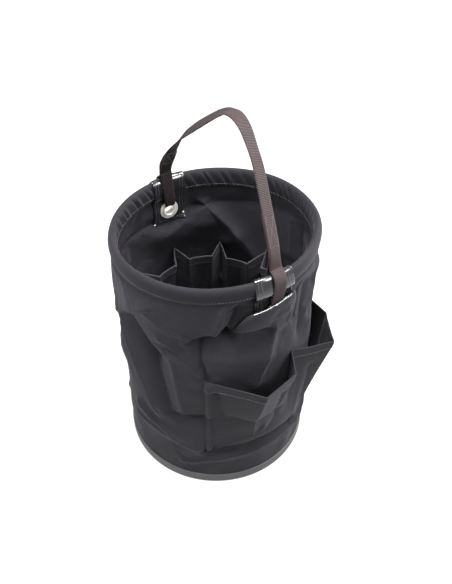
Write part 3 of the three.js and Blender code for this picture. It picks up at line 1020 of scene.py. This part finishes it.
def make_strap(material, thread):
    line = strap_line()
    rows = len(line)
    half = strap_width(line)
    slide = sideways(line)
    tangent = unit(np.gradient(line, axis=0))
    normal = np.stack([tangent[:, 1], -tangent[:, 0]], -1)
    length = line_length(line)
    along = np.linspace(0, length, rows)
    rib = 0.2 * np.abs(np.sin(np.pi * along / RIB_PITCH))
    section = []
    edge = STRAP_THICK / 2
    for t in np.linspace(-1, 1, STRAP_COLS):
        section.append((t * (1 - 0.05 * t * t), edge, 1))
    for t in np.linspace(1, -1, STRAP_COLS):
        section.append((t * (1 - 0.05 * t * t), -edge, -1))
    section = np.array(section)
    count = len(section)
    turn = np.radians(np.interp(line[:, 0], *np.array(TWIST[::-1]).T)) * smooth(line[:, 1], 400, 422)
    turn = np.where(on_arch(line), turn, -turn)
    eyelet = at_eyelet(line)
    points = np.empty((rows, count, 3))
    for k, (across, off, face) in enumerate(section):
        round_edge = 0.55 if abs(across) > 0.94 else 1.0
        thick = (off + face * rib) * round_edge
        cup = 0.5 * (across**2 - 0.3) * np.exp(-((strap_cup(line)) ** 2)) + 2.4 * across**2 * eyelet
        out, wide = thick + cup, across * half
        in_plane = out * np.cos(turn) - wide * np.sin(turn)
        points[:, k, 0] = line[:, 0] + normal[:, 0] * in_plane
        points[:, k, 2] = line[:, 1] + normal[:, 1] * in_plane
        points[:, k, 1] = wide * np.cos(turn) + out * np.sin(turn) + slide
    uv = np.stack(np.broadcast_arrays(section[:, 0] * STRAP_HALF, along[:, None]), -1)
    points = strap_place(points)
    make_strap_stitches(points, line, along, thread)
    quads = grid_faces(rows, count, True)
    caps = []
    for row in (0, rows - 1):
        for k in range(count // 2 - 1):
            quad = [row * count + c for c in (k, k + 1, count - 2 - k, count - 1 - k)]
            caps.append(quad if row else quad[::-1])
    points = points.reshape(-1, 3)
    quads = facing_out(points, np.concatenate([quads, caps]))
    strap = make_piece("webbing_strap", points, quads, material, uv.reshape(-1, 2), body=None,
                       slot="webbing", uv_period=2 * STRAP_HALF * 4)
    hinge(strap)
    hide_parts("strap_arch", "strap_loop_front", "strap_loop_back")


def hinge(piece):
    """Bakes a piece's placement into its mesh."""
    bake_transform(piece)


def box_and_cross(low, high, inset):
    """Rows of stitches through a sewn end. Each runs from one (distance up the leg, share of the half width)
    to another."""
    corners = [(low, -0.78), (high, -0.78), (high, 0.78), (low, 0.78)]
    box = [(corners[k], corners[(k + 1) % 4]) for k in range(4)]
    return box + [((low + inset, -share), (high - inset, share)) for share in (0.7, -0.7)]


FRONT_SEAMS = box_and_cross(10, 48, 2)
BACK_SEAMS = box_and_cross(4, 22, 1)


def make_strap_stitches(points, line, along, thread):
    """Box-and-cross stitching on both faces of the doubled ends."""
    columns = np.linspace(-1, 1, STRAP_COLS)
    normals = unit(points - points[:, ::-1])
    seams = []
    arch = on_arch(line)
    for flip, rows in ((1, FRONT_SEAMS), (-1, BACK_SEAMS)):
        on_leg = (line[:, 1] > FOLD_LEVEL + 2) & (line[:, 0] * flip > 50)
        for layer, order in ((arch, flip), (~arch, -flip)):
            leg = np.nonzero(on_leg & layer)[0][::order]
            up_leg = np.abs(along[leg] - along[leg[0]])
            for start, end in rows:
                share = np.linspace(0, 1, 40)
                up = start[0] + (end[0] - start[0]) * share
                across = start[1] + (end[1] - start[1]) * share
                row = np.interp(up, up_leg, leg)
                col = np.interp(across * order * flip, columns, range(STRAP_COLS))
                place, facing = (read_grid(field, row, col) for field in (points, normals))
                seams.append(stitch_row(place, unit(facing), 2.6, 2.1, 0.36, 0.05))
    stitching = thread_piece("strap_stitching", seams, thread, body=None, slot="webbing")
    hinge(stitching)


def on_arch(line):
    """True for the rows of the arch, and not for the free ends that lie under it."""
    return (np.gradient(line[:, 1]) * np.sign(line[:, 0]) > 0) | (line[:, 1] > FOLD_LEVEL + 70)


def strap_cup(line):
    return (line[:, 1] - 470) / 60


def strap_place(points):
    """From the flat drawing of the webbing to its place: leaned over, and sunk with the rim at its foot."""
    points = np.array(points, float)
    shift = settle_shift(points[..., 0], points[..., 1], np.minimum(points[..., 2], 380.0))
    points = lean(points)
    points[..., 2] += shift * (1 - smooth(points[..., 2], 470, 540))
    return points


# ---- Pockets ----
POCKET_GAP = 1.5


def pocket_grid(mouth, bottom, rows, cols, facing, bulge=0.0, creases=()):
    """A pocket panel's middle surface. mouth is a list of (angle, stand-off, height, share of the width), and
    bottom is a list of (share, angle, height) along the bottom seam. facing is 1 outside the wall, -1 inside.
    creases is a list of (share, level) to (share, level), how far out, and width."""
    share = np.linspace(0, 1, cols)
    mouth = np.asarray(mouth, float)
    corner = polar(mouth[:, 0], np.hypot(*on_wall(mouth[:, 0], mouth[:, 2])[:, :2].T) + facing * mouth[:, 1],
                   on_wall(mouth[:, 0], mouth[:, 2])[:, 2])
    top = np.stack([np.interp(share, mouth[:, 3], corner[:, k]) for k in range(3)], -1)
    bottom = np.asarray(bottom, float)
    low_angle = np.interp(share, bottom[:, 0], bottom[:, 1])
    low_height = np.interp(share, bottom[:, 0], bottom[:, 2])
    low = on_wall(low_angle, low_height, facing * 1.3)
    left_seam = np.linspace(bottom[0, 2], mouth[0, 2], rows)
    right_seam = np.linspace(bottom[-1, 2], mouth[-1, 2], rows)
    left_angle = np.linspace(bottom[0, 1], mouth[0, 0], rows)
    right_angle = np.linspace(bottom[-1, 1], mouth[-1, 0], rows)
    left = on_wall(left_angle, left_seam, facing * 1.3)
    right = on_wall(right_angle, right_seam, facing * 1.3)
    level = np.linspace(0, 1, rows)
    grid = low[None] * (1 - level[:, None, None]) + top[None] * level[:, None, None]
    for side, weight in ((left, (1 - share)), (right, share)):
        ruled = side[0][None] * (1 - level[:, None]) + side[-1][None] * level[:, None]
        fade = weight ** 6
        grid += (side - ruled)[:, None] * fade[None, :, None]
    normal = facing * unit(np.stack([grid[..., 0], grid[..., 1], 0 * grid[..., 0]], -1))
    belly = np.sin(np.pi * level)[:, None] * np.sin(np.pi * share)[None] * bulge
    wide, tall = line_length(top), mouth[0, 2] - bottom[0, 2]
    for u0, v0, u1, v1, out, width in creases:
        run = (u1 - u0) * wide, (v1 - v0) * tall
        belly = belly + crease((share[None] - u0) * wide, (level[:, None] - v0) * tall, *run, out, width)
    free = smooth(share, 0, 0.03) * (1 - smooth(share, 0.97, 1)) * smooth(level, 0, 0.05)[:, None]
    return clear_of_wall(grid + normal * (belly * free)[..., None], facing)


def clear_of_wall(grid, facing):
    """The panel pushed back to its own side of the wall, where a fold of the wall would run through it."""
    angle = np.degrees(np.arctan2(grid[..., 1], grid[..., 0]))
    height = grid[..., 2] - settle_shift(grid[..., 0], grid[..., 1], grid[..., 2])
    wall = on_wall(angle, np.clip(height, wall_heights[0], wall_heights[-1]))
    gap = facing * (np.hypot(grid[..., 0], grid[..., 1]) - np.hypot(wall[..., 0], wall[..., 1]))
    away = facing * unit(np.stack([grid[..., 0], grid[..., 1], 0 * grid[..., 0]], -1))
    return grid + away * np.maximum(POCKET_GAP - gap, 0)[..., None]


OUTER_LARGE = {
    "mouth": [(-38, 0.8, 232, 0), (-9, 31, 228, 0.5), (8, 30, 236, 0.78), (16, 1, 243, 1)],
    "bottom": [(0, -38, 77), (0.5, -12, 80), (0.78, 3, 83), (1, 16, 86)],
    "creases": [
        (0.04, 0.95, 0.05, 0.1, 4, 5), (0.11, 0.85, 0.17, 0.45, -5, 7), (0.17, 0.45, 0.08, 0.08, -5, 7),
        (0.02, 0.04, 0.62, 0.28, 5, 8), (0.1, 0.0, 0.6, 0.13, -4, 7), (0.28, 0.55, 0.8, 0.4, -4, 14),
        (0.45, 0.9, 0.5, 0.3, 2.5, 10), (0.72, 0.75, 0.8, 0.2, -4, 9),
    ],
}
OUTER_SMALL = {
    "mouth": [(16, 1, 243, 0), (26, 19, 240, 0.24), (34, 40, 240, 0.5), (50, 22, 246, 0.78), (59, 1, 250, 1)],
    "bottom": [(0, 16, 86), (0.3, 27, 90), (1, 59, 96)],
    "creases": [(0.5, 0.95, 0.4, 0.2, 3, 9), (0.3, 0.7, 0.35, 0.1, -4, 9), (0.7, 0.9, 0.6, 0.3, -3, 12)],
}


def pocket_piece(name, node, grid, material, facing, hem_width=16.0):
    """A pocket panel with a folded hem along its mouth, and the row of stitches under the fold."""
    rows, cols = grid.shape[:2]
    wide = np.linalg.norm(np.diff(grid, axis=1), axis=2).sum(1).mean()
    tall = np.linalg.norm(np.diff(grid, axis=0), axis=2).sum(0).mean()
    uv = np.stack(np.meshgrid(np.linspace(0, wide, cols), np.linspace(0, tall, rows)), -1)
    if facing < 0:
        grid = grid[:, ::-1]
    from_top = tall * (1 - np.linspace(0, 1, rows))
    band = (0.45 if facing > 0 else 0.2) * (1 - smooth(from_top, hem_width - 0.6, hem_width + 0.6))[:, None]
    band = band * np.ones(cols)
    piece = cloth_piece(name, grid, uv, material, (POCKET_HALF + band, POCKET_HALF + 0.3 * band),
                        slot="pocket_fabric")
    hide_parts(node)
    row = int(np.argmin(np.abs(from_top - (hem_width - 2.2))))
    normals = grid_normals(grid)
    seam = stitch_row(grid[row, 1:-1], normals[row, 1:-1], 4.0, 3.0, 0.34, 1.05)
    return piece, seam, wide, tall


def make_outer_pockets(material, thread):
    seams = []
    for name, node, shape in (
        ("large_pocket", "outer_pocket_large", OUTER_LARGE),
        ("small_pocket", "outer_pocket_small", OUTER_SMALL),
    ):
        grid = pocket_grid(shape["mouth"], shape["bottom"], 150, 160, 1, 1.5, shape["creases"])
        piece, seam, wide, tall = pocket_piece(name, node, grid, material, 1)
        seams.append(seam)
    thread_piece("outer_pocket_stitching", seams, thread, slot="pocket_fabric")


def make_inner_pockets(material, thread):
    rng = np.random.default_rng(9)
    pitch = 360 / INNER_POCKETS
    seams = []
    for number in range(1, INNER_POCKETS + 1):
        right = INNER_FIRST_SEAM - (number - 1) * pitch
        left = right - pitch
        deep = 30 + rng.uniform(-3, 3, 2)
        top = INNER_TOP - 3 + rng.uniform(-3, 3, 4) - np.array([0, 7, 7, 0])
        width = pitch * 0.2
        mouth = [(left, 0.9, top[0], 0), (left + width, deep[0], top[1], 0.22),
                 (right - width, deep[1], top[2], 0.78), (right, 0.9, top[3], 1)]
        bottom = [(0, left, INNER_BOTTOM), (0.22, left + width * 1.1, INNER_BOTTOM),
                  (0.78, right - width * 1.1, INNER_BOTTOM), (1, right, INNER_BOTTOM)]
        creases = [(0.22, 0.98, 0.3, 0.2, 3, 7), (0.78, 0.98, 0.7, 0.25, 3, 7), (0.45, 0.8, 0.55, 0.3, -3, 9)]
        grid = pocket_grid(mouth, bottom, 90, 60, -1, 1.0, creases)
        name, node = f"inside_pocket_{number}", f"inner_pocket_{number}"
        piece, seam, wide, tall = pocket_piece(name, node, grid, material, -1)
        seams.append(seam)
    thread_piece("inner_pocket_stitching", seams, thread, slot="pocket_fabric")


# ---- Base ----
def make_base(tray_plastic, board_plastic, fabric):
    wall = TRAY_RADIUS - 2.6
    outline = [
        (0.01, 0.0), (60, 0.0), (TRAY_RADIUS - 5, 0.0), (TRAY_RADIUS - 2.6, 0.35), (TRAY_RADIUS - 0.9, 1.6),
        (TRAY_RADIUS - 0.2, 3.4), (TRAY_RADIUS, 5.5), (TRAY_RADIUS, TRAY_HEIGHT - 2.0),
        (TRAY_RADIUS - 0.25, TRAY_HEIGHT - 0.7), (TRAY_RADIUS - 0.8, TRAY_HEIGHT - 0.1),
        (wall + 0.5, TRAY_HEIGHT), (wall + 0.1, TRAY_HEIGHT - 0.4), (wall, TRAY_HEIGHT - 1.2), (wall, 4.4),
        (wall - 0.6, 3.1), (wall - 2.0, 2.95), (60, 2.95), (0.01, 2.95),
    ]
    tray = lathe("moulded_tray", outline, tray_plastic, 256, slot="tray_plastic")
    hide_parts("base_tray")
    for name, material in (("base_board", board_plastic), ("floor_panel", fabric)):
        materials = frame["nodes"][name].data.materials
        materials.clear()
        materials.append(material)


# ---- Build ----
def build():
    make_camera()
    make_studio()
    wall_canvas = canvas("charcoal_canvas", (0.0142, 0.0133, 0.0162))
    # the hem's canvas is a darker copy of the wall's canvas: painted shade on the hem
    hem_canvas_painted_shade = canvas("hem_canvas_painted_shade", (0.0098, 0.0091, 0.0112))
    pocket_canvas = canvas("pocket_canvas", (0.0138, 0.0130, 0.0158))
    # the inside pockets' canvas is painted almost three times lighter than the wall's: painted light for the
    # dim inside
    inner_canvas_painted_light = canvas("inner_canvas_painted_light", (0.040, 0.0376, 0.0452))
    thread = thread_material()
    vinyl, nickel, web = vinyl_material(), nickel_material(), webbing_material()
    tray = moulded_material("grey_tray", (0.042, 0.042, 0.0435), 0.55)
    board = moulded_material("black_board", (0.02, 0.02, 0.022), 0.6)
    steel = steel_material()
    make_wall(wall_canvas)
    make_hoop(steel)
    make_hem(hem_canvas_painted_shade)
    make_hem_stitches(thread)
    for side, turn_to in (("front", 0), ("back", 180)):
        make_patch(side, turn_to, vinyl, thread)
    make_eyelets(nickel)
    make_strap(web, thread)
    make_outer_pockets(pocket_canvas, thread)
    make_inner_pockets(inner_canvas_painted_light, thread)
    make_base(tray, board, wall_canvas)


build()
